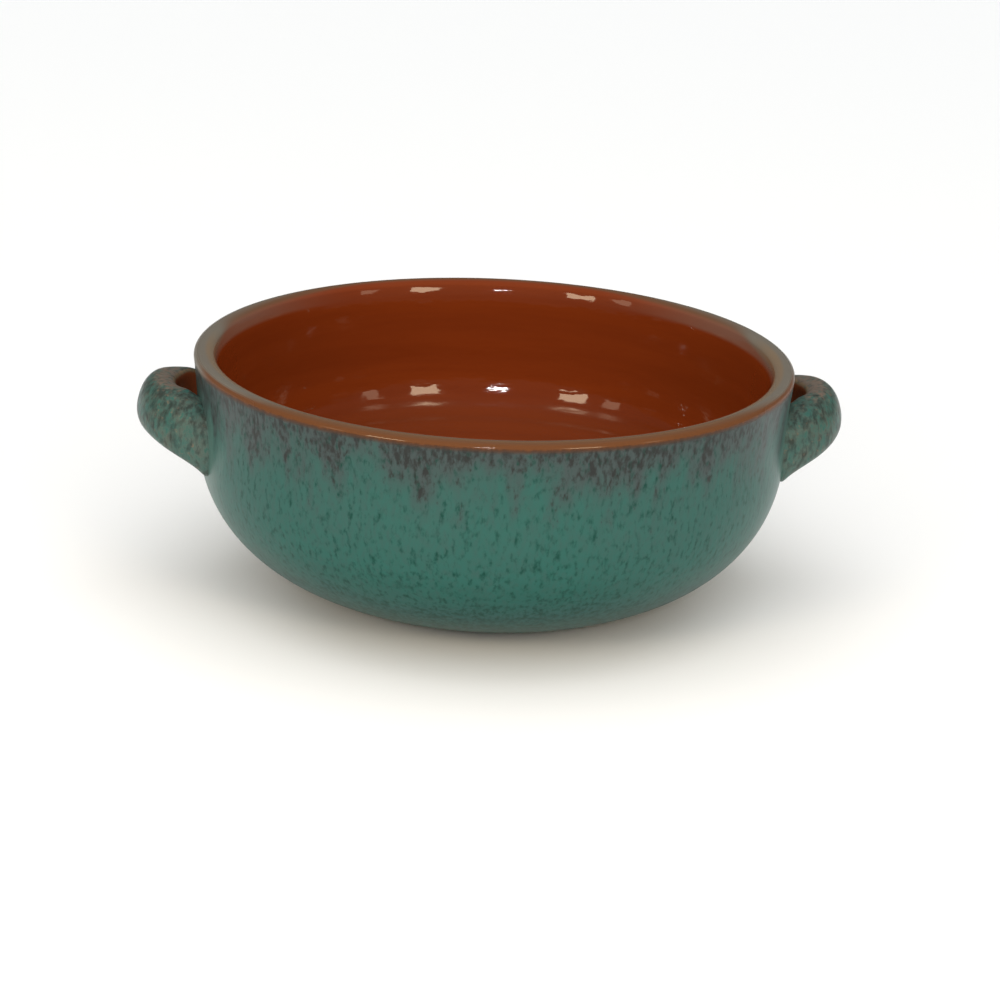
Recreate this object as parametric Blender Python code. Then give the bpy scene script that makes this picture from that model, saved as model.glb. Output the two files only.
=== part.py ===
"""Cazuela: a turned terracotta bowl with two loop handles luted to its wall.

Metres, +Z up. The origin is the centre of the foot, on the surface that the bowl stands on,
and the two handles lie along X.
"""
import math

import bmesh
import bpy

# Bowl, outside
RIM_RADIUS = 0.1000  # outside of the rounded lip
HEIGHT = 0.0814  # standing surface to the top of the lip
LIP_THICKNESS = 0.0076  # across the rounded lip
RIM_FLARE = 0.0017  # the lip's outside beyond the wall where that turns upright
BELLY_HEIGHT = 0.0523  # height at which the wall turns upright
LIFT_ANGLE = math.radians(12.0)  # share of the belly's quarter turn that the foot cuts off

# Bowl, foot
FOOT_RADIUS = 0.0460  # outside of the foot ring
FOOT_HEIGHT = 0.0011  # step from the standing surface up to the belly
FOOT_EDGE = 0.0005  # rounding of the ring's outer edge
RING_WIDTH = 0.0050  # flat width that the bowl stands on
RECESS_SLOPE = 0.0025  # width of the sloping edge inside the ring
RECESS_DEPTH = 0.0010  # hollow inside the ring

# Bowl, inside
WALL_THICKNESS = 0.0070  # upright wall
FLOOR_THICKNESS = 0.0075  # floor above the hollow
WELL_RADIUS = 0.0400  # flat part of the floor
COVE_HEIGHT = 0.0465  # floor to the height at which the inside turns upright

# Handles: a strap bent into a loop, narrower at the middle than at its two roots
FINGER_GAP = 0.0084  # wall to strap at the middle of the loop
STRAP_THICKNESS = 0.0112  # at the middle of the loop
STRAP_HEIGHT = 0.0170
STRAP_DROP = 0.0178  # top of the lip down to the strap's centre
STRAP_TILT = math.radians(20.0)  # the strap's top leans towards the bowl
ROOT_THICKNESS = 0.0124  # at the wall
ROOT_HEIGHT = 0.0264
ROOT_DROP = 0.0274  # top of the lip down to the root's centre
ROOT_TILT = math.radians(7.0)
ROOT_FLARE = 0.0010  # clay smoothed on to the wall, added to each side of the root
ROOT_SPAN = 0.0488  # outside width across the two roots
ROOT_INSET = 0.0033  # the loop's curve starts this far inside the wall
ROOT_TAIL = 0.0120  # straight end behind that, cut off by the wall
LUTE_GAP = 0.0003  # slip joint between a root and the wall
SECTION_POWER = 2.8  # 2 is an ellipse, more is squarer
SETTLE_POWER = 0.6  # how soon the section settles on its way from root to middle

# Facets
BOWL_STEPS = 80
BELLY_STEPS = 12
WALL_STEPS = 3
LIP_STEPS = 8
STRAP_STEPS = 26
SECTION_STEPS = 20
MERGE_DISTANCE = 1e-6
SMOOTH_ANGLE = math.radians(35.0)

NECK_RADIUS = RIM_RADIUS - RIM_FLARE
LIP_RADIUS = LIP_THICKNESS / 2
LIP_CENTRE = HEIGHT - LIP_RADIUS
INNER_RADIUS = NECK_RADIUS - WALL_THICKNESS
FLOOR_LEVEL = RECESS_DEPTH + FLOOR_THICKNESS

GLAZE_OUTSIDE, GLAZE_INSIDE, BARE_CLAY = range(3)


def linear(channel):
    return channel / 12.92 if channel <= 0.04045 else ((channel + 0.055) / 1.055) ** 2.4


def fired_clay(name, colour, roughness):
    """A Principled material from an sRGB hex colour."""
    material = bpy.data.materials.new(name)
    material.use_nodes = True
    shader = material.node_tree.nodes["Principled BSDF"]
    channels = [int(colour[i : i + 2], 16) / 255 for i in (0, 2, 4)]
    shader.inputs["Base Color"].default_value = [linear(c) for c in channels] + [1.0]
    shader.inputs["Roughness"].default_value = roughness
    shader.inputs["Metallic"].default_value = 0.0
    return material


def steps(count, start=0.0, end=1.0):
    return [start + (end - start) * i / count for i in range(count + 1)]


def upright(radius, height, top_radius, top_height):
    """Wall from the end of a curve, upright there, that leans slowly out to the lip."""
    return [
        (radius + (top_radius - radius) * share**2, height + (top_height - height) * share)
        for share in steps(WALL_STEPS)
    ]


def outside_line():
    """Radius and height down the outside, from the lip's outer edge to the foot's step."""
    wall = upright(NECK_RADIUS, BELLY_HEIGHT, RIM_RADIUS, LIP_CENTRE)
    reach = (NECK_RADIUS - FOOT_RADIUS) / (1 - math.sin(LIFT_ANGLE))
    rise = (BELLY_HEIGHT - FOOT_HEIGHT) / math.cos(LIFT_ANGLE)
    belly = [
        (NECK_RADIUS - reach * (1 - math.sin(turn)), BELLY_HEIGHT - rise * math.cos(turn))
        for turn in steps(BELLY_STEPS, math.pi / 2, LIFT_ANGLE)
    ]
    return wall[:0:-1] + belly


def inside_line():
    """Radius and height up the inside, from the floor's centre to the lip's inner edge."""
    cove = [
        (
            WELL_RADIUS + (INNER_RADIUS - WELL_RADIUS) * math.sin(turn),
            FLOOR_LEVEL + COVE_HEIGHT * (1 - math.cos(turn)),
        )
        for turn in steps(BELLY_STEPS, 0.0, math.pi / 2)
    ]
    top = upright(INNER_RADIUS, FLOOR_LEVEL + COVE_HEIGHT, RIM_RADIUS - LIP_THICKNESS, LIP_CENTRE)
    return [(0.0, FLOOR_LEVEL), (WELL_RADIUS / 2, FLOOR_LEVEL)] + cove + top[1:]


def lip_line(start, end):
    """Part of the rounded lip, from one angle to another."""
    centre = RIM_RADIUS - LIP_RADIUS
    return [
        (centre + LIP_RADIUS * math.cos(turn), LIP_CENTRE + LIP_RADIUS * math.sin(turn))
        for turn in steps(LIP_STEPS // 2, start, end)
    ]


def foot_line():
    """Radius and height under the foot, from its step to the centre of the hollow."""
    ring = FOOT_RADIUS - FOOT_EDGE
    recess = ring - RING_WIDTH
    return [
        (FOOT_RADIUS, FOOT_HEIGHT),
        (FOOT_RADIUS, FOOT_EDGE),
        (ring, 0.0),
        (recess, 0.0),
        (recess - RECESS_SLOPE, RECESS_DEPTH),
        (recess / 2, RECESS_DEPTH),
        (0.0, RECESS_DEPTH),
    ]


def turn_line(bm, line, material_index):
    """Turn a line of radius and height about Z, and give its faces one material."""
    earlier = set(bm.faces)
    verts = [bm.verts.new((radius, 0.0, height)) for radius, height in line]
    edges = [bm.edges.new(pair) for pair in zip(verts, verts[1:])]
    bmesh.ops.spin(
        bm,
        geom=verts + edges,
        cent=(0.0, 0.0, 0.0),
        axis=(0.0, 0.0, 1.0),
        angle=math.tau,
        steps=BOWL_STEPS,
        use_merge=True,
    )
    for face in bm.faces:
        if face not in earlier:
            face.material_index = material_index


def close_mesh(bm, name):
    """Merge what meets, point the faces out and make a smooth-shaded mesh."""
    bmesh.ops.remove_doubles(bm, verts=bm.verts, dist=MERGE_DISTANCE)
    bmesh.ops.recalc_face_normals(bm, faces=bm.faces)
    mesh = bpy.data.meshes.new(name)
    bm.to_mesh(mesh)
    bm.free()
    mesh.shade_smooth()
    mesh.set_sharp_from_angle(angle=SMOOTH_ANGLE)
    return mesh


def add_object(name, mesh, parent=None):
    added = bpy.data.objects.new(name, mesh)
    bpy.context.collection.objects.link(added)
    added.parent = parent
    return added


def make_bowl(parent):
    """The bowl as one turned body, glazed inside and out, with a bare foot."""
    bm = bmesh.new()
    turn_line(bm, inside_line(), GLAZE_INSIDE)
    turn_line(bm, lip_line(math.pi, math.pi / 2), GLAZE_INSIDE)
    turn_line(bm, lip_line(math.pi / 2, 0.0), GLAZE_OUTSIDE)
    turn_line(bm, outside_line(), GLAZE_OUTSIDE)
    turn_line(bm, foot_line(), BARE_CLAY)
    mesh = close_mesh(bm, "bowl")
    mesh.materials.append(fired_clay("reactive_teal_glaze", "44695f", 0.38))
    mesh.materials.append(fired_clay("clear_glaze_on_terracotta", "742d0e", 0.10))
    mesh.materials.append(fired_clay("bare_terracotta", "a5623f", 0.85))
    return add_object("bowl", mesh, parent)


def make_wall_cutter(parent):
    """The bowl's outside as a full solid, larger by the slip joint, which shapes the roots."""
    wall = [(radius + LUTE_GAP, height) for radius, height in outside_line()]
    line = [(0.0, LIP_CENTRE)] + wall + [(0.0, FOOT_HEIGHT)]
    bm = bmesh.new()
    turn_line(bm, line, 0)
    cutter = add_object("wall_cutter", close_mesh(bm, "wall_cutter"), parent)
    cutter.hide_render = True
    cutter.display_type = "WIRE"
    return cutter


def between(root, middle, share):
    return root + (middle - root) * share


def section_corner(angle):
    """A point of the strap's rounded section, one unit across each half."""
    power = 2 / SECTION_POWER
    across = math.copysign(abs(math.cos(angle)) ** power, math.cos(angle))
    along = math.copysign(abs(math.sin(angle)) ** power, math.sin(angle))
    return across, along


def strap_ring(turn, setback=0.0):
    """One section of the +X strap. The turn runs from 0 at one root to pi at the other."""
    swing = abs(math.sin(turn))
    settled = swing**SETTLE_POWER
    start = NECK_RADIUS - ROOT_INSET
    reach = NECK_RADIUS + FINGER_GAP + STRAP_THICKNESS / 2 - start
    half_span = (ROOT_SPAN - ROOT_THICKNESS) / 2
    outward = start + reach * swing - setback
    sideways = half_span * math.cos(turn)
    length = math.hypot(half_span * swing, reach * math.cos(turn))
    normal = (half_span * swing / length, reach * math.cos(turn) / length)
    flare = ROOT_FLARE * (1 - swing) ** 4
    half_thickness = between(ROOT_THICKNESS, STRAP_THICKNESS, settled) / 2 + flare
    half_height = between(ROOT_HEIGHT, STRAP_HEIGHT, settled) / 2 + flare
    tilt = between(ROOT_TILT, STRAP_TILT, settled)
    height = HEIGHT - between(ROOT_DROP, STRAP_DROP, settled)
    ring = []
    for i in range(SECTION_STEPS):
        across, along = section_corner(math.tau * i / SECTION_STEPS)
        out = half_thickness * across * math.cos(tilt) - half_height * along * math.sin(tilt)
        up = half_thickness * across * math.sin(tilt) + half_height * along * math.cos(tilt)
        ring.append((outward + out * normal[0], sideways + out * normal[1], height + up))
    return ring


def make_strap_mesh():
    """The bent strap, lofted through its sections, with both tails run into the wall."""
    rings = [strap_ring(0.0, ROOT_TAIL)]
    rings += [strap_ring(turn) for turn in steps(STRAP_STEPS, 0.0, math.pi)]
    rings.append(strap_ring(math.pi, ROOT_TAIL))
    bm = bmesh.new()
    loops = []
    for ring in rings:
        verts = [bm.verts.new(corner) for corner in ring]
        loops.append([bm.edges.new(pair) for pair in zip(verts, verts[1:] + verts[:1])])
    for near, far in zip(loops, loops[1:]):
        bmesh.ops.bridge_loops(bm, edges=near + far)
    bmesh.ops.holes_fill(bm, edges=loops[0] + loops[-1])
    mesh = close_mesh(bm, "strap")
    mesh.materials.append(fired_clay("reactive_teal_glaze_on_handle", "4a6057", 0.42))
    return mesh


def make_handle(name, mesh, turn, cutter, parent):
    """One handle: the strap turned to its side of the bowl, its roots cut to fit the wall."""
    handle = add_object(name, mesh, parent)
    handle.rotation_euler.z = turn
    cut = handle.modifiers.new("seat_on_wall", "BOOLEAN")
    cut.operation = "DIFFERENCE"
    cut.object = cutter
    return handle


def main():
    for old in list(bpy.data.objects):
        bpy.data.objects.remove(old)
    cazuela = add_object("cazuela", None)
    make_bowl(cazuela)
    cutter = make_wall_cutter(cazuela)
    strap = make_strap_mesh()
    make_handle("handle_right", strap, 0.0, cutter, cazuela)
    make_handle("handle_left", strap, math.pi, cutter, cazuela)


main()
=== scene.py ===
"""Cazuela: a turned terracotta bowl with two loop handles, glazed teal outside and clear inside.

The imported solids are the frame. The bowl and the handles are rebuilt here in finer meshes with
their throwing rings, glazes and bare foot, and are set on a plain stage. Metres, +Z up.
"""

import math

import bmesh
import bpy
from bpy.props import FloatProperty, FloatVectorProperty, IntProperty, PointerProperty
from mathutils import Matrix, Vector


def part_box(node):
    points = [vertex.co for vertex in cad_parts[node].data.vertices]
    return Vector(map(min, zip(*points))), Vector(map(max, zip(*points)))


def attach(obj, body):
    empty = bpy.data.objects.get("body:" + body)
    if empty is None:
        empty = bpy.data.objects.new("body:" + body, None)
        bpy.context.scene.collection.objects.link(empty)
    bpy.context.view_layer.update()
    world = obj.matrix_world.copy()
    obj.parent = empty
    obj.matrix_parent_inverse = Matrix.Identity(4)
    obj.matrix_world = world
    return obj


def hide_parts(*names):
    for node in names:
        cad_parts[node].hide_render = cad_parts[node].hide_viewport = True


bl_info = {
    "name": "Cazuela",
    "version": (1, 0, 0),
    "blender": (4, 5, 0),
    "location": "3D View > Sidebar > Cazuela",
    "description": "Builds a glazed terracotta cazuela with two loop handles on a plain stage",
    "category": "Object",
}

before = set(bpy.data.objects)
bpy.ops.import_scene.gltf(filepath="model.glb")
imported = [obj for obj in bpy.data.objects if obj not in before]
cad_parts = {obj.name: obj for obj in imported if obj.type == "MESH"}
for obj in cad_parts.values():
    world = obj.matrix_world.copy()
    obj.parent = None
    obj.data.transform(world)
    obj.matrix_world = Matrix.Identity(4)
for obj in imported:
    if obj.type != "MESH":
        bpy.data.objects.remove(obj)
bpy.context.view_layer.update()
BOWL_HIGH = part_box("bowl")[1]

MM = 0.001

# Facets along the bowl's profile, and along a strap's loop and round its section
FLOOR_STEPS, COVE_STEPS, FLARE_STEPS, INNER_LIP_STEPS = 28, 84, 24, 16
OUTER_LIP_STEPS, WALL_STEPS, BELLY_STEPS, FOOT_EDGE_STEPS, FOOT_SLOPE_STEPS = 14, 14, 56, 5, 6
LOOP_STEPS, SECTION_STEPS = 72, 64

# Attributes of the straps, each 1 in a zone that the glaze treats in its own way
STRAP_ZONES = ("top", "edge", "hollow", "root")

GLAZE_IOR = 1.5
SMOOTH = {"interpolation_type": "SMOOTHSTEP"}

# Middle of the bowl, at which the lamps point, and the gap that keeps the paper clear of the foot
LAMPS_AIM = Vector((0.0, 0.0, 0.06))
PAPER_GAP = 0.0001


def linear(hex_colour):
    """Linear red, green and blue of an sRGB hex colour."""
    channels = [int(hex_colour[i : i + 2], 16) / 255 for i in (0, 2, 4)]
    return [c / 12.92 if c <= 0.04045 else ((c + 0.055) / 1.055) ** 2.4 for c in channels]


def length(name, default, description):
    return FloatProperty(
        name=name, description=description, default=default, unit="LENGTH", precision=5
    )


def angle(name, degrees, description):
    return FloatProperty(
        name=name, description=description, default=math.radians(degrees), unit="ROTATION"
    )


def colour(name, hex_colour, description):
    return FloatVectorProperty(
        name=name, description=description, default=linear(hex_colour), subtype="COLOR", size=3
    )


class CazuelaBowl(bpy.types.PropertyGroup):
    """Sizes of the turned bowl."""

    rim_radius: length("Rim radius", BOWL_HIGH.x, "Outside of the lip")
    height: length("Height", BOWL_HIGH.z, "Standing surface to the top of the lip")
    rim_flare: length("Rim flare", 0.0017, "The lip's outside beyond the wall's lower end")
    belly_height: length("Belly height", 0.0523, "Height at which the wall turns upright")
    lift_angle: angle("Lift angle", 12, "Share of the belly's quarter turn that the foot cuts off")
    fullness: length("Fullness", 0.0008, "How far the belly stands out of its ellipse")
    lip_outer_width: length("Lip outer width", 0.0026, "Crest of the lip to its outside")
    lip_outer_drop: length("Lip outer drop", 0.0021, "Height of the lip's tight outer edge")
    lip_inner_width: length("Lip inner width", 0.0043, "Crest of the lip to its inner edge")
    lip_inner_drop: length("Lip inner drop", 0.0021, "Height of the lip's broad inner edge")
    lip_slope: angle("Lip slope", 19, "Lean of the inside where it meets the lip's inner edge")
    lip_edge: length("Lip edge", 0.0031, "Crest of the lip, over its outside, to the outer glaze")
    wall: length("Wall", 0.0070, "Thickness of the upright wall")
    floor_level: length("Floor level", 0.0085, "Standing surface to the inside floor")
    well_radius: length("Well radius", 0.0400, "Flat part of the inside floor")
    cove_height: length("Cove height", 0.0465, "Floor to where the inside turns upright")
    ring_spacing: length("Ring spacing", 0.00475, "Spacing of the throwing rings inside")
    ring_depth: length("Ring depth", 0.00008, "How far a throwing ring stands out or in")
    ring_height: length("Ring height", 0.0367, "Height of the top throwing ring")
    foot_radius: length("Foot radius", 0.0460, "Outside of the foot ring")
    foot_height: length("Foot height", 0.0011, "Step from the standing surface to the belly")
    foot_width: length("Foot width", 0.0050, "Flat width that the bowl stands on")
    foot_hollow: length("Foot hollow", 0.0010, "Hollow inside the foot ring")
    turn_steps: IntProperty(
        name="Turn steps", description="Facets round the bowl", default=240, min=24
    )


class CazuelaHandle(bpy.types.PropertyGroup):
    """Sizes of the two loop handles."""

    finger_gap: length("Finger gap", 0.0087, "Wall to strap at the middle of the loop")
    thickness: length("Thickness", 0.0112, "Strap at the middle of the loop")
    strap_height: length("Strap height", 0.0180, "Strap at the middle of the loop")
    drop: length("Drop", 0.0179, "Top of the lip down to the strap's centre")
    tilt: angle("Tilt", 15, "How far the strap's top leans towards the bowl")
    root_thickness: length("Root thickness", 0.0118, "Strap at the wall")
    root_height: length("Root height", 0.0246, "Strap at the wall")
    root_drop: length("Root drop", 0.0282, "Top of the lip down to the root's centre")
    root_tilt: angle("Root tilt", 2, "Lean of the root")
    root_flare: length("Root flare", 0.0006, "Clay smoothed from the outer face on to the wall")
    root_span: length("Root span", 0.0514, "Outside width across the two roots")
    root_inset: length("Root inset", 0.0033, "How far inside the wall the loop's curve starts")
    root_tail: length("Root tail", 0.0036, "Straight end behind that, inside the wall")
    outer_power: FloatProperty(
        name="Outer power", description="Outer half: 2 is an ellipse, more is squarer", default=2.2
    )
    inner_power: FloatProperty(
        name="Inner power", description="Half towards the hole: the same", default=4.5
    )
    crest: FloatProperty(
        name="Crest", description="Slope of the arms' tops, up towards the hole", default=0.22
    )
    settle_power: FloatProperty(
        name="Settle power", description="How soon the root's height settles", default=0.54
    )
    slim_power: FloatProperty(
        name="Slim power", description="How soon the root's thickness settles", default=1.15
    )


class CazuelaGlaze(bpy.types.PropertyGroup):
    """Colours of the clay and its glazes."""

    teal: colour("Teal", "315c56", "Reactive glaze on the wall")
    # Also painted shade low on the belly, where the wall mirrors the shadowed paper
    teal_deep: colour("Deep teal", "255d55", "Reactive glaze where it lies thick")
    haze: colour("Haze", "404a4b", "Reactive glaze in its band below the lip")
    # Also washed over the darker band low on the belly, partly pooled glaze, partly painted shade
    crystal: colour("Crystal", "023a31", "Crystals in the reactive glaze")
    drip: colour("Drip", "242120", "Iron that runs down from the lip")
    # Partly glaze made thin by wiping, partly a painted reflection of the pale paper near the foot
    wiped_and_painted_reflection: colour("Wiped", "26534f", "Reactive glaze wiped thin towards the foot")
    breaking: colour("Breaking", "664026", "Clay that shows where the glaze is thin")
    film: colour("Film", "64442e", "Thin glaze over the lip")
    film_side: colour("Side film", "6e685e", "The lip's glaze above the handles")
    # On the straps' hole edges this tan is also a painted highlight line
    thinned: colour("Thinned", "7d6850", "Glaze drawn thin along the lip's and the holes' edges")
    blush: colour("Blush", "7b5545", "Inside of the lip, under the thinnest film")
    # Painted light: a lighter grey that offsets the shade round the handles' roots, as a painted
    # sheen
    painted_root_light: colour("Luted", "627b75", "Reactive glaze over the slip at the handles' roots")
    # Partly thin glaze, partly painted shade inside the loops
    hollow: colour("Hollow", "7f4024", "Thin glaze inside the loops")
    rubbed: colour("Rubbed", "6f6055", "Reactive glaze worn thin on the handles")
    clay_inside: colour("Clay inside", "7e3512", "Red clay under clear glaze")
    clay_dark: colour("Dark clay", "69280d", "Red clay under thicker clear glaze")
    clay_floor: colour("Clay floor", "702c03", "Red clay where clear glaze pools on the floor")
    clay_bare: colour("Bare clay", "a5623f", "Unglazed foot")


def steps(count, start=0.0, end=1.0):
    return [start + (end - start) * i / count for i in range(count + 1)]


def between(start, end, share):
    return start + (end - start) * share


def ease(value, low, high):
    """0 below low, 1 above high and smooth between them."""
    share = min(max((value - low) / (high - low), 0.0), 1.0)
    return share * share * (3 - 2 * share)


def inside_line(sizes):
    """Radius and height up the inside, from the floor's centre to the lip's crest."""
    inner = sizes.rim_radius - sizes.rim_flare - sizes.wall
    crest = sizes.rim_radius - sizes.lip_outer_width
    line = [(sizes.well_radius * share, sizes.floor_level) for share in steps(FLOOR_STEPS)[:-1]]
    for turn in steps(COVE_STEPS, 0.0, math.pi / 2):
        line.append(
            (
                sizes.well_radius + (inner - sizes.well_radius) * math.sin(turn),
                sizes.floor_level + sizes.cove_height * (1 - math.cos(turn)),
            )
        )
    # The inside flares to the lip's slope, and the lip's edge starts at that slope
    first = math.atan(math.tan(sizes.lip_slope) * sizes.lip_inner_drop / sizes.lip_inner_width)
    lip = []
    for turn in steps(INNER_LIP_STEPS, first, math.pi / 2):
        lip.append(
            (
                crest - sizes.lip_inner_width * math.cos(turn),
                sizes.height - sizes.lip_inner_drop * (1 - math.sin(turn)),
            )
        )
    cove_top = sizes.floor_level + sizes.cove_height
    flare, rise = lip[0][0] - inner, lip[0][1] - cove_top
    for share in steps(FLARE_STEPS)[1:-1]:
        line.append(
            (
                inner + flare * share ** (math.tan(sizes.lip_slope) * rise / flare),
                cove_top + rise * share,
            )
        )
    line += lip
    return [throwing_ring(sizes, radius, height) for radius, height in line]


def throwing_ring(sizes, radius, height):
    """Push a point of the inside along the rings that the potter's fingers leave."""
    # In the cove they fade out up the wall and down to the floor, and the lower ones are deeper
    wave = math.tau * (height - sizes.ring_height) / sizes.ring_spacing
    depth = sizes.ring_depth * ease(height, 0.018, 0.028) * (1 - ease(height, 0.037, 0.0415))
    deepest = 2.9
    depth *= between(deepest, 1.0, ease(height, 0.029, 0.0367))
    # On the floor they are broader and fainter, and fade at its centre
    breadth, faintness = 1.6, 0.6
    floor_wave = math.tau * radius / (breadth * sizes.ring_spacing)
    floor_depth = faintness * sizes.ring_depth * (1 - ease(height, 0.0086, 0.020))
    floor_depth *= ease(radius, 0.0, 0.012)
    return radius - depth * math.sin(wave), height + floor_depth * math.sin(floor_wave)


def outside_line(sizes):
    """Radius and height down the outside, from the lip's crest to the foot's step."""
    neck = sizes.rim_radius - sizes.rim_flare
    crest = sizes.rim_radius - sizes.lip_outer_width
    lip_low = sizes.height - sizes.lip_outer_drop
    line = []
    for turn in steps(OUTER_LIP_STEPS, math.pi / 2, 0.0)[1:]:
        line.append(
            (
                crest + sizes.lip_outer_width * math.cos(turn),
                lip_low + sizes.lip_outer_drop * math.sin(turn),
            )
        )
    for share in steps(WALL_STEPS, 1.0, 0.0)[1:]:
        line.append(
            (
                neck + sizes.rim_flare * share**2,
                sizes.belly_height + (lip_low - sizes.belly_height) * share,
            )
        )
    reach = (neck - sizes.foot_radius) / (1 - math.sin(sizes.lift_angle))
    rise = (sizes.belly_height - sizes.foot_height) / math.cos(sizes.lift_angle)
    for share in steps(BELLY_STEPS)[1:]:
        turn = between(math.pi / 2, sizes.lift_angle, share)
        full = sizes.fullness * math.sin(math.pi * share) ** 2
        line.append(
            (
                neck - reach * (1 - math.sin(turn)) + full * math.sin(turn),
                sizes.belly_height - rise * math.cos(turn) - full * math.cos(turn),
            )
        )
    return line


def foot_line(sizes):
    """Radius and height under the foot, from its step to the centre of its hollow."""
    edge, slope = 0.0005, 0.0025
    ring = sizes.foot_radius - edge
    line = []
    for turn in steps(FOOT_EDGE_STEPS, 0.0, math.pi / 2):
        line.append((ring + edge * math.cos(turn), edge - edge * math.sin(turn)))
    inner = ring - sizes.foot_width
    line += [(ring - sizes.foot_width / 2, 0.0), (inner, 0.0)]
    for share in steps(FOOT_SLOPE_STEPS)[1:]:
        line.append((inner - slope * share, sizes.foot_hollow * ease(share, 0.0, 1.0)))
    line += [(inner * share, sizes.foot_hollow) for share in (0.8, 0.6, 0.4, 0.2, 0.0)]
    return line


def make_piece(name, bm, materials, node):
    """Turn a bmesh into a smooth piece that rides on the root and stands for a CAD node."""
    bmesh.ops.recalc_face_normals(bm, faces=bm.faces)
    mesh = bpy.data.meshes.new(name)
    bm.to_mesh(mesh)
    bm.free()
    mesh.shade_smooth()
    for material in materials:
        mesh.materials.append(material)
    piece = bpy.data.objects.new(name, mesh)
    bpy.context.scene.collection.objects.link(piece)
    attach(piece, "root")
    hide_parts(node)
    return piece


def add_node(tree, kind, inputs=(), **settings):
    """Add a node, give it its settings, and set or link its inputs."""
    node = tree.nodes.new(kind)
    for name, value in settings.items():
        setattr(node, name, value)
    for key, value in dict(inputs).items():
        if isinstance(value, bpy.types.NodeSocket):
            tree.links.new(value, node.inputs[key])
        else:
            node.inputs[key].default_value = value
    return node


def per_mm(size):
    """Noise scale, on coordinates in metres, whose features are about so many mm across."""
    return 1 / (size * MM)


def start_material(name):
    material = bpy.data.materials.new(name)
    material.use_nodes = True
    tree = material.node_tree
    return material, tree, tree.nodes["Principled BSDF"]


def lip_wear(tree, parts):
    """How far out to a side a point lies, whether it is above a handle, and the lip's roughness.

    Hands rub the lip's outer edge dull towards the handles.
    """
    width = add_node(tree, "ShaderNodeMath", {0: parts[0]}, operation="ABSOLUTE").outputs[0]
    above = add_node(
        tree,
        "ShaderNodeMapRange",
        {"Value": width, "From Min": 0.0945, "From Max": 0.0995},
        **SMOOTH,
    ).outputs[0]
    rubbed = add_node(
        tree,
        "ShaderNodeMapRange",
        {"Value": width, "From Min": 0.07, "From Max": 0.092, "To Min": 0.1, "To Max": 0.45},
    ).outputs[0]
    return width, above, rubbed


def set_glaze(tree, shader, painted, roughness, bump, shine):
    """Give a shader a glaze's colour, roughness, relief and strength of mirroring."""
    for name, socket in (("Base Color", painted), ("Roughness", roughness), ("Normal", bump)):
        tree.links.new(socket, shader.inputs[name])
    shader.inputs["IOR"].default_value = GLAZE_IOR
    shader.inputs["Specular IOR Level"].default_value = shine


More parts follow.
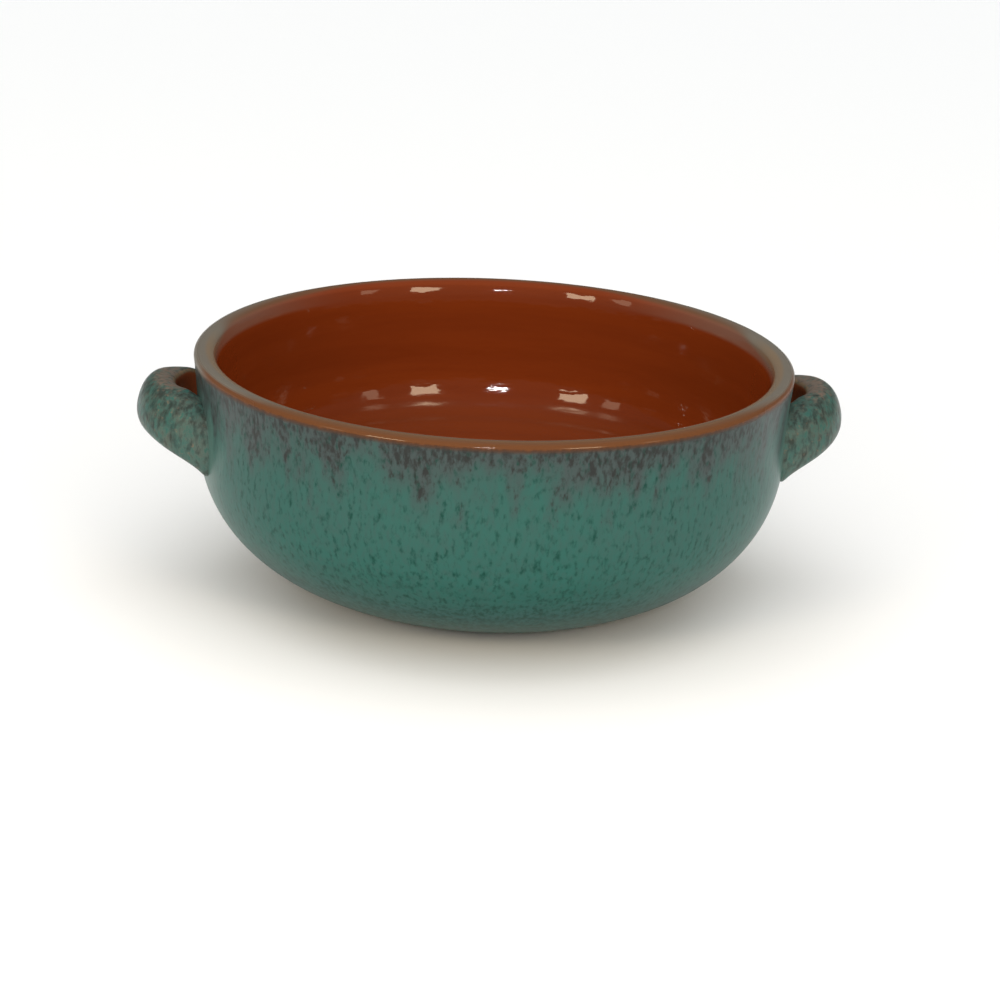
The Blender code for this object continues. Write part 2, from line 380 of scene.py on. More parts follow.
def clear_glazed_terracotta(glaze):
    """Red earthenware, turned and dipped in clear glaze: wet-looking red clay with faint rings.

    The outer glaze leaves a film over the lip, wider and greyer above the handles.
    """
    material, tree, shader = start_material("clear_glazed_terracotta")
    place = add_node(tree, "ShaderNodeTexCoord").outputs["Object"]
    run = add_node(tree, "ShaderNodeAttribute", attribute_name="run").outputs["Fac"]
    parts = add_node(tree, "ShaderNodeSeparateXYZ", {0: place}).outputs
    # Rings of thicker glaze, 7 mm wide and 90 mm long round the bowl, on the wall and the floor
    squeezed = {}
    for axis, (value, share) in enumerate(((parts[0], 0.08), (parts[1], 0.08), (run, MM))):
        squeezed[axis] = add_node(
            tree, "ShaderNodeMath", {0: value, 1: share}, operation="MULTIPLY"
        ).outputs[0]
    level = add_node(tree, "ShaderNodeCombineXYZ", squeezed).outputs[0]
    rings = add_node(
        tree,
        "ShaderNodeTexNoise",
        {"Vector": level, "Scale": per_mm(7), "Detail": 4.0, "Roughness": 0.6},
    ).outputs["Fac"]
    painted = add_node(
        tree,
        "ShaderNodeMix",
        {0: rings, 6: (*glaze.clay_inside, 1), 7: (*glaze.clay_dark, 1)},
        data_type="RGBA",
    ).outputs[2]
    # Browner on the floor, where the glaze pools
    pooled = add_node(
        tree,
        "ShaderNodeMapRange",
        {"Value": run, "From Min": -44.0, "From Max": -54.0, "To Max": 0.8},
        **SMOOTH,
    ).outputs[0]
    painted = add_node(
        tree, "ShaderNodeMix", {0: pooled, 6: painted, 7: (*glaze.clay_floor, 1)}, data_type="RGBA"
    ).outputs[2]

    # Where the film is broad: above the handles, in front of them and, less so, just behind them
    width, above, rubbed = lip_wear(tree, parts)
    depth = add_node(tree, "ShaderNodeMath", {0: parts[1]}, operation="ABSOLUTE").outputs[0]
    across = width
    for part, share in ((depth, -0.7), (parts[1], -0.6)):
        across = add_node(
            tree, "ShaderNodeMath", {0: part, 1: share, 2: across}, operation="MULTIPLY_ADD"
        ).outputs[0]
    side = add_node(
        tree,
        "ShaderNodeMapRange",
        {"Value": across, "From Min": 0.035, "From Max": 0.105},
        **SMOOTH,
    ).outputs[0]
    rear = add_node(
        tree, "ShaderNodeMath", {0: parts[1], 1: 0.35, 2: width}, operation="MULTIPLY_ADD"
    ).outputs[0]
    rear = add_node(
        tree,
        "ShaderNodeMapRange",
        {"Value": rear, "From Min": 0.068, "From Max": 0.098},
        **SMOOTH,
    ).outputs[0]
    # A blush inside it, 8 mm from the lip's crest, faint at the back
    blush = add_node(
        tree,
        "ShaderNodeMapRange",
        {"Value": run, "From Min": -9.0, "From Max": -7.3, "To Max": 0.95},
        **SMOOTH,
    ).outputs[0]
    flank = add_node(
        tree,
        "ShaderNodeMapRange",
        {"Value": across, "From Min": -0.065, "From Max": 0.045, "To Min": 0.05},
        **SMOOTH,
    ).outputs[0]
    blush = add_node(tree, "ShaderNodeMath", {0: blush, 1: flank}, operation="MULTIPLY").outputs[0]
    painted = add_node(
        tree,
        "ShaderNodeMix",
        {0: blush, 6: painted, 7: (*glaze.blush, 1)},
        data_type="RGBA",
    ).outputs[2]
    # The film reaches 2 mm in from the crest, or 7 mm where a handle is below. It is brown, but
    # grey there, and from there on the crest towards the back and inside it towards the front
    turned = run
    for factor in (parts[1], 8.0):
        turned = add_node(
            tree, "ShaderNodeMath", {0: turned, 1: factor}, operation="MULTIPLY"
        ).outputs[0]
    reaches = []
    for reach, side_share, rear_share, low, high in (
        (run, 3.6, 2.2, -2.8, -0.4),
        (turned, 4.0, 2.4, 0.8, 3.2),
    ):
        for mask, share in ((side, side_share), (rear, rear_share)):
            reach = add_node(
                tree, "ShaderNodeMath", {0: mask, 1: share, 2: reach}, operation="MULTIPLY_ADD"
            ).outputs[0]
        reaches.append(
            add_node(
                tree,
                "ShaderNodeMapRange",
                {"Value": reach, "From Min": low, "From Max": high},
                **SMOOTH,
            ).outputs[0]
        )
    filmed, grey = reaches
    film = add_node(
        tree,
        "ShaderNodeMix",
        {0: grey, 6: (*glaze.film, 1), 7: (*glaze.film_side, 1)},
        data_type="RGBA",
    ).outputs[2]
    painted = add_node(
        tree, "ShaderNodeMix", {0: filmed, 6: painted, 7: film}, data_type="RGBA"
    ).outputs[2]
    # Tan along the lip's inner edge, but not at the back, and faint on the crest in front
    for share, windows in (
        (0.8, ((run, -6.6, -5.2), (run, -0.6, -2.2), (parts[1], 0.03, 0.0))),
        (0.25, ((run, -2.4, -1.2), (run, 1.3, 0.3), (parts[1], -0.05, -0.08))),
    ):
        thinned = share
        for value, low, high in windows:
            window = add_node(
                tree,
                "ShaderNodeMapRange",
                {"Value": value, "From Min": low, "From Max": high},
                **SMOOTH,
            ).outputs[0]
            thinned = add_node(
                tree, "ShaderNodeMath", {0: window, 1: thinned}, operation="MULTIPLY"
            ).outputs[0]
        painted = add_node(
            tree,
            "ShaderNodeMix",
            {0: thinned, 6: painted, 7: (*glaze.thinned, 1)},
            data_type="RGBA",
        ).outputs[2]
    # Brown on the lip's outer edge, but not above the handles
    edging = add_node(
        tree,
        "ShaderNodeMix",
        {0: above, 6: (*glaze.breaking, 1), 7: (*glaze.film_side, 1)},
        data_type="RGBA",
    ).outputs[2]
    broken = add_node(
        tree,
        "ShaderNodeMapRange",
        {"Value": run, "From Min": 1.2, "From Max": 2.3},
        **SMOOTH,
    ).outputs[0]
    painted = add_node(
        tree, "ShaderNodeMix", {0: broken, 6: painted, 7: edging}, data_type="RGBA"
    ).outputs[2]
    # Duller on the floor, where spoons rub, in the film and where hands rub the lip's outer edge
    worn = add_node(
        tree,
        "ShaderNodeMapRange",
        {"Value": run, "From Min": -49.0, "From Max": -43.0, "To Min": 0.16, "To Max": 0.05},
        **SMOOTH,
    ).outputs[0]
    roughness = worn
    for mask, matt in ((filmed, 0.2), (broken, rubbed)):
        roughness = add_node(
            tree, "ShaderNodeMix", {0: mask, 2: roughness, 3: matt}, data_type="FLOAT"
        ).outputs[0]
    # The glaze's waves, 4 mm high and 12 mm long, which break up what it mirrors
    waves = add_node(
        tree, "ShaderNodeMapping", {"Vector": place, "Scale": (0.33, 0.33, 1)}
    ).outputs[0]
    waves = add_node(
        tree,
        "ShaderNodeTexNoise",
        {"Vector": waves, "Scale": per_mm(4), "Detail": 2.0, "Roughness": 0.5},
    ).outputs["Fac"]
    bump = add_node(
        tree, "ShaderNodeBump", {"Height": waves, "Strength": 1.0, "Distance": 0.00015}
    ).outputs[0]
    set_glaze(tree, shader, painted, roughness, bump, shine=0.45)
    return material


def reactive_copper_glaze(glaze):
    """Satin copper glaze on red earthenware, which the kiln draws down the wall.

    A lilac haze with iron drips hangs from the lip's brown edge. Teal with dark crystals follows,
    deeper low in the belly, partly where the glaze pools and partly as painted shade where the
    wall mirrors the shadowed paper. Towards the foot it is greyer, partly made thin by wiping and
    partly a painted reflection of the pale paper.
    """
    material, tree, shader = start_material("reactive_copper_glaze")
    place = add_node(tree, "ShaderNodeTexCoord").outputs["Object"]
    parts = add_node(tree, "ShaderNodeSeparateXYZ", {0: place}).outputs
    run = add_node(tree, "ShaderNodeAttribute", attribute_name="run").outputs["Fac"]

    # Teal, in clouds 30 mm across, and deeper low in the belly, partly where the glaze pools and
    # partly as painted shade where the wall mirrors the shadowed paper
    clouds = add_node(
        tree,
        "ShaderNodeTexNoise",
        {"Vector": place, "Scale": per_mm(30), "Detail": 3.0, "Roughness": 0.6},
    ).outputs["Fac"]
    pooled = add_node(
        tree,
        "ShaderNodeMapRange",
        {"Value": run, "From Min": 30.0, "From Max": 52.0, "To Max": 0.6},
        **SMOOTH,
    ).outputs[0]
    cloudy = add_node(
        tree,
        "ShaderNodeMapRange",
        {"Value": clouds, "From Min": 0.35, "From Max": 0.65, "To Max": 0.4},
        **SMOOTH,
    ).outputs[0]
    deep = add_node(tree, "ShaderNodeMath", {0: pooled, 1: cloudy}, operation="ADD").outputs[0]
    painted = add_node(
        tree,
        "ShaderNodeMix",
        {0: deep, 6: (*glaze.teal, 1), 7: (*glaze.teal_deep, 1)},
        data_type="RGBA",
    ).outputs[2]

    # What hangs from the lip: tongues 7 mm across and 20 mm long, which reach some 5 mm up or down
    upright = add_node(
        tree, "ShaderNodeMapping", {"Vector": place, "Scale": (1, 1, 0.36)}
    ).outputs[0]
    tongues = add_node(
        tree,
        "ShaderNodeTexNoise",
        {"Vector": upright, "Scale": per_mm(7), "Detail": 2.0, "Roughness": 0.5},
    ).outputs["Fac"]
    reach, middle = 46.0, 22.0
    hang = add_node(
        tree, "ShaderNodeMath", {0: tongues, 1: -reach, 2: middle}, operation="MULTIPLY_ADD"
    ).outputs[0]
    hang = add_node(tree, "ShaderNodeMath", {0: hang, 1: run}, operation="ADD").outputs[0]
    hazy = add_node(
        tree,
        "ShaderNodeMapRange",
        {"Value": hang, "From Min": 5.0, "From Max": 27.0, "To Min": 0.95, "To Max": 0.0},
        **SMOOTH,
    ).outputs[0]
    painted = add_node(
        tree, "ShaderNodeMix", {0: hazy, 6: painted, 7: (*glaze.haze, 1)}, data_type="RGBA"
    ).outputs[2]

    # Streaks, 1.5 mm across and 3 mm long, faint in the teal
    drawn = add_node(
        tree, "ShaderNodeMapping", {"Vector": place, "Scale": (1, 1, 0.5)}
    ).outputs[0]
    streaks = add_node(
        tree,
        "ShaderNodeTexNoise",
        {"Vector": drawn, "Scale": per_mm(1.5), "Detail": 4.0, "Roughness": 0.55},
    ).outputs["Fac"]
    faint = add_node(
        tree,
        "ShaderNodeMapRange",
        {"Value": streaks, "From Min": 0.42, "From Max": 0.72, "To Max": 0.3},
    ).outputs[0]
    painted = add_node(
        tree, "ShaderNodeMix", {0: faint, 6: painted, 7: (*glaze.haze, 1)}, data_type="RGBA"
    ).outputs[2]

    # Darker above an edge that wavers a few mm, partly pooled glaze and partly painted shade of
    # the shadowed paper it mirrors; greyer from there to the foot, partly glaze made thin by
    # wiping and partly a painted reflection of the pale paper
    edge = run
    for wave, share in ((clouds, 16.0), (tongues, 12.0)):
        edge = add_node(
            tree, "ShaderNodeMath", {0: wave, 1: share, 2: edge}, operation="MULTIPLY_ADD"
        ).outputs[0]
    washes = []
    for tint, low, high, share in ((glaze.crystal, 60, 71, 0.17), (glaze.wiped_and_painted_reflection, 69, 85, 1.0)):
        mask = add_node(
            tree,
            "ShaderNodeMapRange",
            {"Value": edge, "From Min": low, "From Max": high, "To Max": share},
            **SMOOTH,
        ).outputs[0]
        washes.append(mask)
        painted = add_node(
            tree, "ShaderNodeMix", {0: mask, 6: painted, 7: (*tint, 1)}, data_type="RGBA"
        ).outputs[2]

    # Crystals, 1.6 mm across and 3 mm long, closer together in the belly and towards the foot
    crystals = add_node(
        tree,
        "ShaderNodeTexNoise",
        {"Vector": drawn, "Scale": per_mm(1.6), "Detail": 3.0, "Roughness": 0.55},
    ).outputs["Fac"]
    for close, share in ((pooled, 0.06), (washes[-1], 0.10)):
        crystals = add_node(
            tree, "ShaderNodeMath", {0: close, 1: share, 2: crystals}, operation="MULTIPLY_ADD"
        ).outputs[0]
    crystals = add_node(
        tree,
        "ShaderNodeMapRange",
        {"Value": crystals, "From Min": 0.49, "From Max": 0.82, "To Max": 0.95},
        **SMOOTH,
    ).outputs[0]
    painted = add_node(
        tree, "ShaderNodeMix", {0: crystals, 6: painted, 7: (*glaze.crystal, 1)}, data_type="RGBA"
    ).outputs[2]

    # Painted light: lighter and greyer in patches round the handles' roots, a painted sheen that
    # offsets the shade the handles cast on the wall
    depth = add_node(tree, "ShaderNodeMath", {0: parts[1]}, operation="ABSOLUTE").outputs[0]
    offsets = {}
    for axis, (value, centre, reach) in enumerate(((depth, 0.021, 0.018), (run, 30.0, 22.0))):
        offsets[axis] = add_node(
            tree,
            "ShaderNodeMath",
            {0: value, 1: 1 / reach, 2: -centre / reach},
            operation="MULTIPLY_ADD",
        ).outputs[0]
    away = add_node(tree, "ShaderNodeCombineXYZ", offsets).outputs[0]
    away = add_node(tree, "ShaderNodeVectorMath", {0: away}, operation="LENGTH").outputs["Value"]
    away = add_node(
        tree, "ShaderNodeMath", {0: tongues, 1: 1.2, 2: away}, operation="MULTIPLY_ADD"
    ).outputs[0]
    painted_root_light = add_node(
        tree,
        "ShaderNodeMapRange",
        {"Value": away, "From Min": 1.7, "From Max": 0.8, "To Max": 0.48},
        **SMOOTH,
    ).outputs[0]
    painted = add_node(
        tree, "ShaderNodeMix", {0: painted_root_light, 6: painted, 7: (*glaze.painted_root_light, 1)}, data_type="RGBA"
    ).outputs[2]

    # Iron drips in the same streaks, fewer the further down
    scarce = add_node(
        tree,
        "ShaderNodeMapRange",
        {"Value": hang, "From Min": 4.0, "From Max": 38.0, "To Min": 0.37, "To Max": 0.80},
    ).outputs[0]
    drips = add_node(
        tree, "ShaderNodeMath", {0: streaks, 1: scarce}, operation="SUBTRACT"
    ).outputs[0]
    drips = add_node(
        tree,
        "ShaderNodeMapRange",
        {"Value": drips, "From Min": 0.0, "From Max": 0.24, "To Max": 0.74},
        **SMOOTH,
    ).outputs[0]
    painted = add_node(
        tree, "ShaderNodeMix", {0: drips, 6: painted, 7: (*glaze.drip, 1)}, data_type="RGBA"
    ).outputs[2]

    # Brown on the lip's edge, down to a line that the streaks roughen a little, burnt darker
    # along that line and grey above the handles
    ragged = add_node(
        tree, "ShaderNodeMath", {0: streaks, 1: 1.6, 2: run}, operation="MULTIPLY_ADD"
    ).outputs[0]
    covered = add_node(
        tree,
        "ShaderNodeMapRange",
        {"Value": ragged, "From Min": 4.3, "From Max": 6.0},
        **SMOOTH,
    ).outputs[0]
    burnt = add_node(
        tree,
        "ShaderNodeMapRange",
        {"Value": ragged, "From Min": 3.8, "From Max": 4.6, "To Max": 0.55},
        **SMOOTH,
    ).outputs[0]
    _, above, rubbed = lip_wear(tree, parts)
    edging = (*glaze.breaking, 1)
    for mask, tint in ((burnt, glaze.drip), (above, glaze.film_side)):
        edging = add_node(
            tree, "ShaderNodeMix", {0: mask, 6: edging, 7: (*tint, 1)}, data_type="RGBA"
        ).outputs[2]
    painted = add_node(
        tree, "ShaderNodeMix", {0: covered, 6: edging, 7: painted}, data_type="RGBA"
    ).outputs[2]
    roughness = add_node(
        tree, "ShaderNodeMix", {0: covered, 2: rubbed, 3: 0.32}, data_type="FLOAT"
    ).outputs[0]
    # Orange peel, 1.5 mm, a few hundredths of a mm high
    peel = add_node(
        tree,
        "ShaderNodeTexNoise",
        {"Vector": upright, "Scale": per_mm(1.5), "Detail": 2.0, "Roughness": 0.5},
    ).outputs["Fac"]
    relief = add_node(
        tree, "ShaderNodeMath", {0: peel, 1: covered}, operation="MULTIPLY"
    ).outputs[0]
    bump = add_node(
        tree, "ShaderNodeBump", {"Height": relief, "Strength": 0.5, "Distance": 0.0001}
    ).outputs[0]
    set_glaze(tree, shader, painted, roughness, bump, shine=0.15)
    return material


def bare_terracotta(glaze):
    """Unglazed red earthenware, wiped clean for the kiln shelf: matt, sandy and a bit patchy."""
    material, tree, shader = start_material("bare_terracotta")
    place = add_node(tree, "ShaderNodeTexCoord").outputs["Object"]
    # Sand in the clay, 0.5 mm, drawn coarser than it is so that it shows
    grit = add_node(
        tree,
        "ShaderNodeTexNoise",
        {"Vector": place, "Scale": per_mm(0.9), "Detail": 4.0, "Roughness": 0.7},
    ).outputs["Fac"]
    pale = add_node(
        tree,
        "ShaderNodeMapRange",
        {"Value": grit, "From Min": 0.3, "From Max": 0.7, "To Min": 0.75, "To Max": 1.15},
    ).outputs[0]
    painted = add_node(
        tree,
        "ShaderNodeMix",
        {0: 1.0, 6: (*glaze.clay_bare, 1), 7: pale},
        data_type="RGBA",
        blend_type="MULTIPLY",
    ).outputs[2]
    bump = add_node(
        tree, "ShaderNodeBump", {"Height": grit, "Strength": 0.6, "Distance": 0.0002}
    ).outputs[0]
    tree.links.new(painted, shader.inputs["Base Color"])
    tree.links.new(bump, shader.inputs["Normal"])
    shader.inputs["Roughness"].default_value = 0.85
    return material


def copper_glaze_on_straps(glaze):
    """The same satin copper glaze on hand-pulled straps, where it is mottled all over.

    It breaks to tan on top of the loop and along the hole's edge, where the tan is also a painted
    highlight. It misses the hole's inside, whose brown is also painted shade.
    """
    material, tree, shader = start_material("copper_glaze_on_straps")
    place = add_node(tree, "ShaderNodeTexCoord").outputs["Object"]
    top, edge, hollow, root = (
        add_node(tree, "ShaderNodeAttribute", attribute_name=name).outputs["Fac"]
        for name in STRAP_ZONES
    )
    # Clouds, 5 mm across
    clouds = add_node(
        tree,
        "ShaderNodeTexNoise",
        {"Vector": place, "Scale": per_mm(5), "Detail": 4.0, "Roughness": 0.6},
    ).outputs["Fac"]
    clouds = add_node(
        tree,
        "ShaderNodeMapRange",
        {"Value": clouds, "From Min": 0.30, "From Max": 0.70, "To Min": 0.06, "To Max": 0.40},
        **SMOOTH,
    ).outputs[0]
    painted = add_node(
        tree,
        "ShaderNodeMix",
        {0: clouds, 6: (*glaze.teal, 1), 7: (*glaze.rubbed, 1)},
        data_type="RGBA",
    ).outputs[2]
    # Painted light: greyer and lighter at the roots, a painted sheen that offsets the shade where
    # they meet the wall
    painted_root_light = add_node(tree, "ShaderNodeMath", {0: root, 1: 0.2}, operation="MULTIPLY").outputs[0]
    painted = add_node(
        tree, "ShaderNodeMix", {0: painted_root_light, 6: painted, 7: (*glaze.painted_root_light, 1)}, data_type="RGBA"
    ).outputs[2]
    # Upright streaks, 2 mm across and 4 mm long, dark with iron or deep teal, darker near the top
    upright = add_node(
        tree, "ShaderNodeMapping", {"Vector": place, "Scale": (1, 1, 0.5)}
    ).outputs[0]
    streaks = add_node(
        tree,
        "ShaderNodeTexNoise",
        {"Vector": upright, "Scale": per_mm(1.8), "Detail": 3.0, "Roughness": 0.55},
    ).outputs["Fac"]
    height = add_node(tree, "ShaderNodeSeparateXYZ", {0: place}).outputs[2]
    dark = add_node(
        tree,
        "ShaderNodeMapRange",
        {"Value": height, "From Min": 0.05, "From Max": 0.068, "To Max": 0.07},
    ).outputs[0]
    dark = add_node(tree, "ShaderNodeMath", {0: dark, 1: streaks}, operation="ADD").outputs[0]
    for value, tint, low, high, share in (
        (dark, glaze.drip, 0.46, 0.72, 0.70),
        (streaks, glaze.teal_deep, 0.46, 0.28, 0.75),
    ):
        mask = add_node(
            tree,
            "ShaderNodeMapRange",
            {"Value": value, "From Min": low, "From Max": high, "To Max": share},
        ).outputs[0]
        painted = add_node(
            tree, "ShaderNodeMix", {0: mask, 6: painted, 7: (*tint, 1)}, data_type="RGBA"
        ).outputs[2]
    # Tan where the glaze breaks: flecks 1.6 mm across, the top and the hole's edge, where the tan
    # is also a painted highlight line
    flecks = add_node(
        tree,
        "ShaderNodeTexNoise",
        {"Vector": place, "Scale": per_mm(1.6), "Detail": 2.0, "Roughness": 0.5},
    ).outputs["Fac"]
    for base, tint in ((-0.2, glaze.breaking), (top, glaze.rubbed), (edge, glaze.thinned)):
        bare = add_node(
            tree, "ShaderNodeMath", {0: flecks, 1: 2.4, 2: base}, operation="MULTIPLY_ADD"
        ).outputs[0]
        bare = add_node(
            tree,
            "ShaderNodeMapRange",
            {"Value": bare, "From Min": 1.45, "From Max": 2.35, "To Max": 0.95},
            **SMOOTH,
        ).outputs[0]
        painted = add_node(
            tree, "ShaderNodeMix", {0: bare, 6: painted, 7: (*tint, 1)}, data_type="RGBA"
        ).outputs[2]
    # Brown inside the hole: thin glaze, and painted shade where the loop shades it
    painted = add_node(
        tree, "ShaderNodeMix", {0: hollow, 6: painted, 7: (*glaze.hollow, 1)}, data_type="RGBA"
    ).outputs[2]
    roughness = add_node(
        tree,
        "ShaderNodeMapRange",
        {"Value": streaks, "From Min": 0.3, "From Max": 0.7, "To Min": 0.30, "To Max": 0.42},
    ).outputs[0]
    bump = add_node(
        tree, "ShaderNodeBump", {"Height": streaks, "Strength": 0.5, "Distance": 0.0003}
    ).outputs[0]
    set_glaze(tree, shader, painted, roughness, bump, shine=0.2)
    return material


class CAZUELA_OT_bowl(bpy.types.Operator):
    """Turn the bowl about its axis and glaze it"""

    bl_idname = "cazuela.bowl"
    bl_label = "Turn the bowl"

    def execute(self, context):
        sizes, glaze = context.scene.cazuela_bowl, context.scene.cazuela_glaze
        inside = inside_line(sizes)
        foot = foot_line(sizes)
        line = inside + outside_line(sizes) + foot
        bm = bmesh.new()
        run = bm.verts.layers.float.new("run")
        verts = [bm.verts.new((radius, 0.0, height)) for radius, height in line]
        # Millimetres along the profile from the lip's crest, less than 0 inside
        along = 0.0
        for before, vert in zip(verts, verts[1:]):
            along += (vert.co - before.co).length / MM
            vert[run] = along
        crest = verts[len(inside) - 1][run]
        for vert in verts:
            vert[run] -= crest
        # Where the outer glaze and the bare foot start, the foot with a little to spare
        slack = 0.01
        starts = (sizes.lip_edge / MM, verts[-len(foot)][run] - slack)
        edges = [bm.edges.new(pair) for pair in zip(verts, verts[1:])]
        bmesh.ops.spin(
            bm,
            geom=verts + edges,
            cent=(0, 0, 0),
            axis=(0, 0, 1),
            angle=math.tau,
            steps=sizes.turn_steps,
            use_merge=True,
        )
        bmesh.ops.remove_doubles(bm, verts=bm.verts, dist=1e-6)
        for face in bm.faces:
            along = min(vert[run] for vert in face.verts)
            face.material_index = sum(along >= start for start in starts)
        materials = [
            make(glaze)
            for make in (clear_glazed_terracotta, reactive_copper_glaze, bare_terracotta)
        ]
        make_piece("glazed_bowl", bm, materials, "bowl")
        return {"FINISHED"}


def strap_ring(bm, bowl, sizes, turn, setback=0.0):
    """Edges of one section of the +X strap. The turn is 0 at one root and pi at the other."""
    top, edge, hollow, root = (bm.verts.layers.float[name] for name in STRAP_ZONES)
    neck = bowl.rim_radius - bowl.rim_flare
    swing = abs(math.sin(turn))
    least_swing = 0.06
    settled, slimmed = max(swing, least_swing) ** sizes.settle_power, swing**sizes.slim_power
    start = neck - sizes.root_inset
    reach = neck + sizes.finger_gap + sizes.thickness / 2 - start
    half_span = (sizes.root_span - sizes.root_thickness) / 2
    slope = math.hypot(half_span * swing, reach * math.cos(turn))
    normal = Vector((half_span * swing / slope, reach * math.cos(turn) / slope, 0.0))
    flare = sizes.root_flare * (1 - swing) ** 4
    half_thickness = between(sizes.root_thickness, sizes.thickness, slimmed) / 2
    half_height = between(sizes.root_height, sizes.strap_height, settled) / 2
    tilt = between(sizes.root_tilt, sizes.tilt, slimmed)
    lean, clear_of_root = ease(swing, 0.5, 0.95), ease(swing, 0.1, 0.4)
    centre = Vector(
        (
            start + reach * swing - setback,
            half_span * math.cos(turn),
            bowl.height - between(sizes.root_drop, sizes.drop, settled),
        )
    )
    made = bmesh.ops.create_circle(bm, segments=SECTION_STEPS, radius=1.0)["verts"]
    for vert in made:
        turn_x, turn_y = vert.co.x, vert.co.y
        power = 2 / (sizes.inner_power if turn_x < 0 else sizes.outer_power)
        across = math.copysign(abs(turn_x) ** power, turn_x) * half_thickness
        along = math.copysign(abs(turn_y) ** power, turn_y) * half_height
        # The arms rise to a crest along the hole, and the middle of the loop leans in
        lift = between(-sizes.crest * max(turn_y, 0.0), math.sin(tilt), lean)
        out = across * math.cos(tilt) - along * math.sin(tilt) + flare * max(turn_x, 0.0)
        up = along * math.cos(tilt) + across * lift
        vert.co = centre + normal * out + Vector((0.0, 0.0, up))
        # The glaze's zones: the loop's top, the hole's edge (also a painted highlight), the hole's
        # inside (also painted shade) and the roots (painted light)
        corner = 0.707 * (turn_y - turn_x)
        vert[top] = ease(turn_y - 0.4 * turn_x, 0.35, 1.1) * ease(swing, 0.35, 0.95)
        vert[edge] = ease(corner, 0.88, 0.98) * clear_of_root
        vert[hollow] = ease(-turn_x - turn_y, -0.15, 0.1) * ease(-turn_x, 0.3, 0.6) * clear_of_root
        vert[root] = 1 - ease(swing, 0.15, 0.6)
    return list({link for vert in made for link in vert.link_edges})


class CAZUELA_OT_handles(bpy.types.Operator):
    """Pull two straps, bend them into loops and lute them to the wall"""

    bl_idname = "cazuela.handles"
    bl_label = "Pull the handles"

    def execute(self, context):
        scene = context.scene
        bowl, sizes = scene.cazuela_bowl, scene.cazuela_handle
        material = copper_glaze_on_straps(scene.cazuela_glaze)
        for side, quarter_turns in (("right", 0), ("left", 2)):
            bm = bmesh.new()
            for name in STRAP_ZONES:
                bm.verts.layers.float.new(name)
            loops = [strap_ring(bm, bowl, sizes, 0.0, sizes.root_tail)]
            turns = steps(LOOP_STEPS, 0.0, math.pi)
            loops += [strap_ring(bm, bowl, sizes, turn) for turn in turns]
            loops.append(strap_ring(bm, bowl, sizes, math.pi, sizes.root_tail))
            for near, far in zip(loops, loops[1:]):
                bmesh.ops.bridge_loops(bm, edges=near + far)
            bmesh.ops.holes_fill(bm, edges=loops[0] + loops[-1])
            turned = Matrix.Rotation(quarter_turns * math.pi / 2, 3, "Z")
            bmesh.ops.rotate(bm, verts=bm.verts, cent=(0, 0, 0), matrix=turned)
            make_piece(f"loop_handle_{side}", bm, [material], f"handle_{side}")
        return {"FINISHED"}


class CazuelaStage(bpy.types.PropertyGroup):
    """The floor, the lamps and the camera."""

    floor: colour("Floor", "fafafa", "Matt paper under the bowl")
    room: FloatProperty(name="Room", description="Light from all round", default=0.12)
    distance: length("Camera distance", 1.0, "Camera to the point it looks at")
    elevation: angle("Camera elevation", 18.835, "Camera above the horizon")
    azimuth: angle("Camera azimuth", -6.1, "Camera round from the front, to the right")
    roll: angle("Camera roll", 2.492, "Camera turned about its own axis")
    aim_across: length("Aim across", 0.00381, "Point looked at, to the right of the axis")
    aim_height: length("Aim height", 0.02944, "Point looked at, above the floor")
    lens: FloatProperty(name="Lens", description="Focal length in mm", default=106.07)


def white_paper(stage):
    """Matt photographic paper: it shows nothing but the bowl's shadow."""
    material, tree, shader = start_material("white_paper")
    place = add_node(tree, "ShaderNodeTexCoord").outputs["Object"]
    tooth = add_node(
        tree, "ShaderNodeTexNoise", {"Vector": place, "Scale": per_mm(1.0), "Detail": 2.0}
    ).outputs["Fac"]
    bump = add_node(
        tree, "ShaderNodeBump", {"Height": tooth, "Strength": 0.1, "Distance": 0.0001}
    ).outputs[0]
    tree.links.new(bump, shader.inputs["Normal"])
    shader.inputs["Base Color"].default_value = (*stage.floor, 1)
    shader.inputs["Roughness"].default_value = 1.0
    shader.inputs["Specular IOR Level"].default_value = 0.0
    return material


def add_lamp(name, kind, direction, distance, **settings):
    """A lamp that shines on the bowl from a direction, in degrees round from the front and up."""
    light = bpy.data.lights.new(name, kind)
    for key, value in settings.items():
        setattr(light, key, value)
    lamp = bpy.data.objects.new(name, light)
    round_from, up = (math.radians(degrees) for degrees in direction)
    back = Vector(
        (math.sin(round_from) * math.cos(up), -math.cos(round_from) * math.cos(up), math.sin(up))
    )
    lamp.location = LAMPS_AIM + back * distance
    lamp.rotation_mode = "QUATERNION"
    lamp.rotation_quaternion = back.to_track_quat("Z", "Y")
    bpy.context.scene.collection.objects.link(lamp)
    return lamp


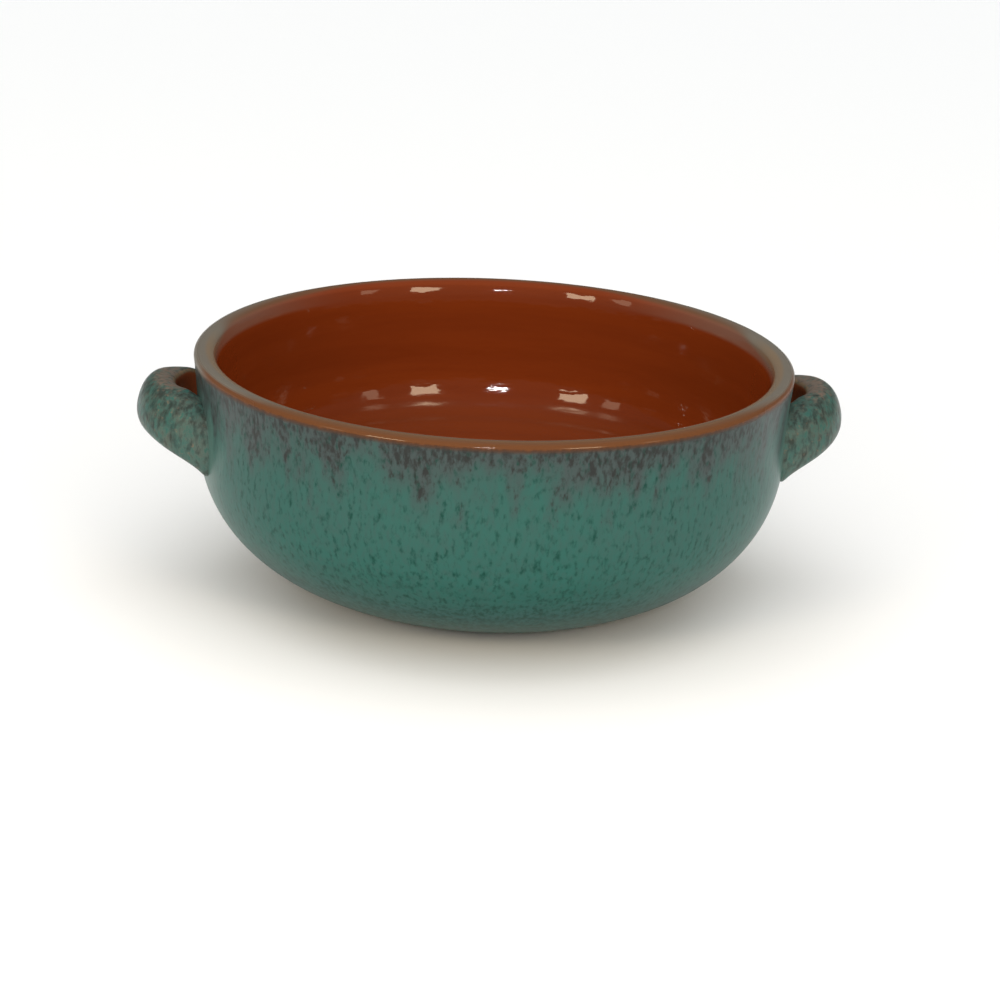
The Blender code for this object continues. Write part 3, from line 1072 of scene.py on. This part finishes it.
class CAZUELA_OT_stage(bpy.types.Operator):
    """Lay the paper, hang the lamps and set the camera"""

    bl_idname = "cazuela.stage"
    bl_label = "Set the stage"

    def execute(self, context):
        scene = context.scene
        stage = scene.cazuela_stage
        bm = bmesh.new()
        bmesh.ops.create_grid(bm, x_segments=8, y_segments=8, size=8.0)
        mesh = bpy.data.meshes.new("paper")
        bm.to_mesh(mesh)
        bm.free()
        mesh.materials.append(white_paper(stage))
        paper = bpy.data.objects.new("paper", mesh)
        paper.location.z = -PAPER_GAP
        scene.collection.objects.link(paper)

        scene.world = bpy.data.worlds.new("studio")
        scene.world.use_nodes = True
        walls = scene.world.node_tree.nodes["Background"].inputs
        walls["Color"].default_value = (1, 0.95, 0.88, 1)
        walls["Strength"].default_value = stage.room
        front = math.degrees(stage.azimuth)
        warm, yellow, cool = (1.0, 0.77, 0.54), (1.0, 0.82, 0.56), (0.97, 0.99, 1.0)
        # Softboxes, each with a fill that isn't mirrored
        box = {"shape": "RECTANGLE", "size": 0.22, "size_y": 0.16, "energy": 1.0, "color": yellow}
        for side, towards, energy in (("right", front + 33, 1.4), ("left", front - 38, 1.45)):
            add_lamp(f"softbox_{side}", "AREA", (towards, 20), 1.0, **box)
            fill = add_lamp(
                f"fill_{side}", "AREA", (towards, 20), 1.0, energy=energy, color=warm, size=0.4
            )
            fill.visible_glossy = False
        strip = {"shape": "RECTANGLE", "size": 0.13, "size_y": 0.18, "energy": 0.18, "color": warm}
        add_lamp("strip_right", "AREA", (front + 60, 19), 1.0, **strip)
        add_lamp("strip_left", "AREA", (front - 58, 19), 1.0, **strip)
        flash = {"shape": "RECTANGLE", "size": 0.13, "size_y": 0.005, "energy": 0.7}
        add_lamp("lamp_at_camera", "AREA", (front - 2, 19), 1.1, **flash)
        # Light from a white ceiling, which isn't mirrored either
        ceilings = (("front", front, 60, 2.3), ("back", front + 180, 55, 1.0))
        for name, towards, up, energy in ceilings:
            sky = add_lamp(
                f"ceiling_{name}",
                "SUN",
                (towards, up),
                2.0,
                energy=energy,
                angle=math.radians(100),
                color=cool,
            )
            sky.visible_glossy = False

        camera = bpy.data.objects.new("camera", bpy.data.cameras.new("camera"))
        camera.data.lens = stage.lens
        camera.data.sensor_width = 36.0
        turned = Matrix.Rotation(stage.azimuth, 3, "Z")
        tilted = Matrix.Rotation(math.pi / 2 - stage.elevation, 3, "X")
        rolled = Matrix.Rotation(stage.roll, 3, "Z")
        aim = turned @ Vector((stage.aim_across, 0.0, stage.aim_height))
        facing = turned @ tilted @ rolled
        camera.matrix_world = Matrix.Translation(
            aim + facing @ Vector((0.0, 0.0, stage.distance))
        ) @ facing.to_4x4()
        scene.collection.objects.link(camera)
        scene.camera = camera
        scene.view_settings.view_transform = "Standard"
        return {"FINISHED"}


class CAZUELA_PT_panel(bpy.types.Panel):
    """Sizes, colours and steps of the cazuela"""

    bl_idname = "CAZUELA_PT_panel"
    bl_label = "Cazuela"
    bl_space_type = "VIEW_3D"
    bl_region_type = "UI"
    bl_category = "Cazuela"

    def draw(self, context):
        for name, operators in STEPS.items():
            box = self.layout.box()
            for operator in operators:
                box.operator(operator)
            group = getattr(context.scene, name)
            for prop in group.bl_rna.properties:
                if prop.identifier not in {"rna_type", "name"}:
                    box.prop(group, prop.identifier)


GROUPS = {
    "cazuela_bowl": CazuelaBowl,
    "cazuela_handle": CazuelaHandle,
    "cazuela_glaze": CazuelaGlaze,
    "cazuela_stage": CazuelaStage,
}
STEPS = {
    "cazuela_bowl": ["cazuela.bowl"],
    "cazuela_handle": ["cazuela.handles"],
    "cazuela_glaze": [],
    "cazuela_stage": ["cazuela.stage"],
}
CLASSES = (
    *GROUPS.values(),
    CAZUELA_OT_bowl,
    CAZUELA_OT_handles,
    CAZUELA_OT_stage,
    CAZUELA_PT_panel,
)


def register():
    for cls in CLASSES:
        bpy.utils.register_class(cls)
    for name, group in GROUPS.items():
        setattr(bpy.types.Scene, name, PointerProperty(type=group))


def unregister():
    for name in GROUPS:
        delattr(bpy.types.Scene, name)
    for cls in reversed(CLASSES):
        bpy.utils.unregister_class(cls)


def main():
    register()
    bpy.ops.cazuela.bowl()
    bpy.ops.cazuela.handles()
    bpy.ops.cazuela.stage()


if __name__ == "__main__":
    main()
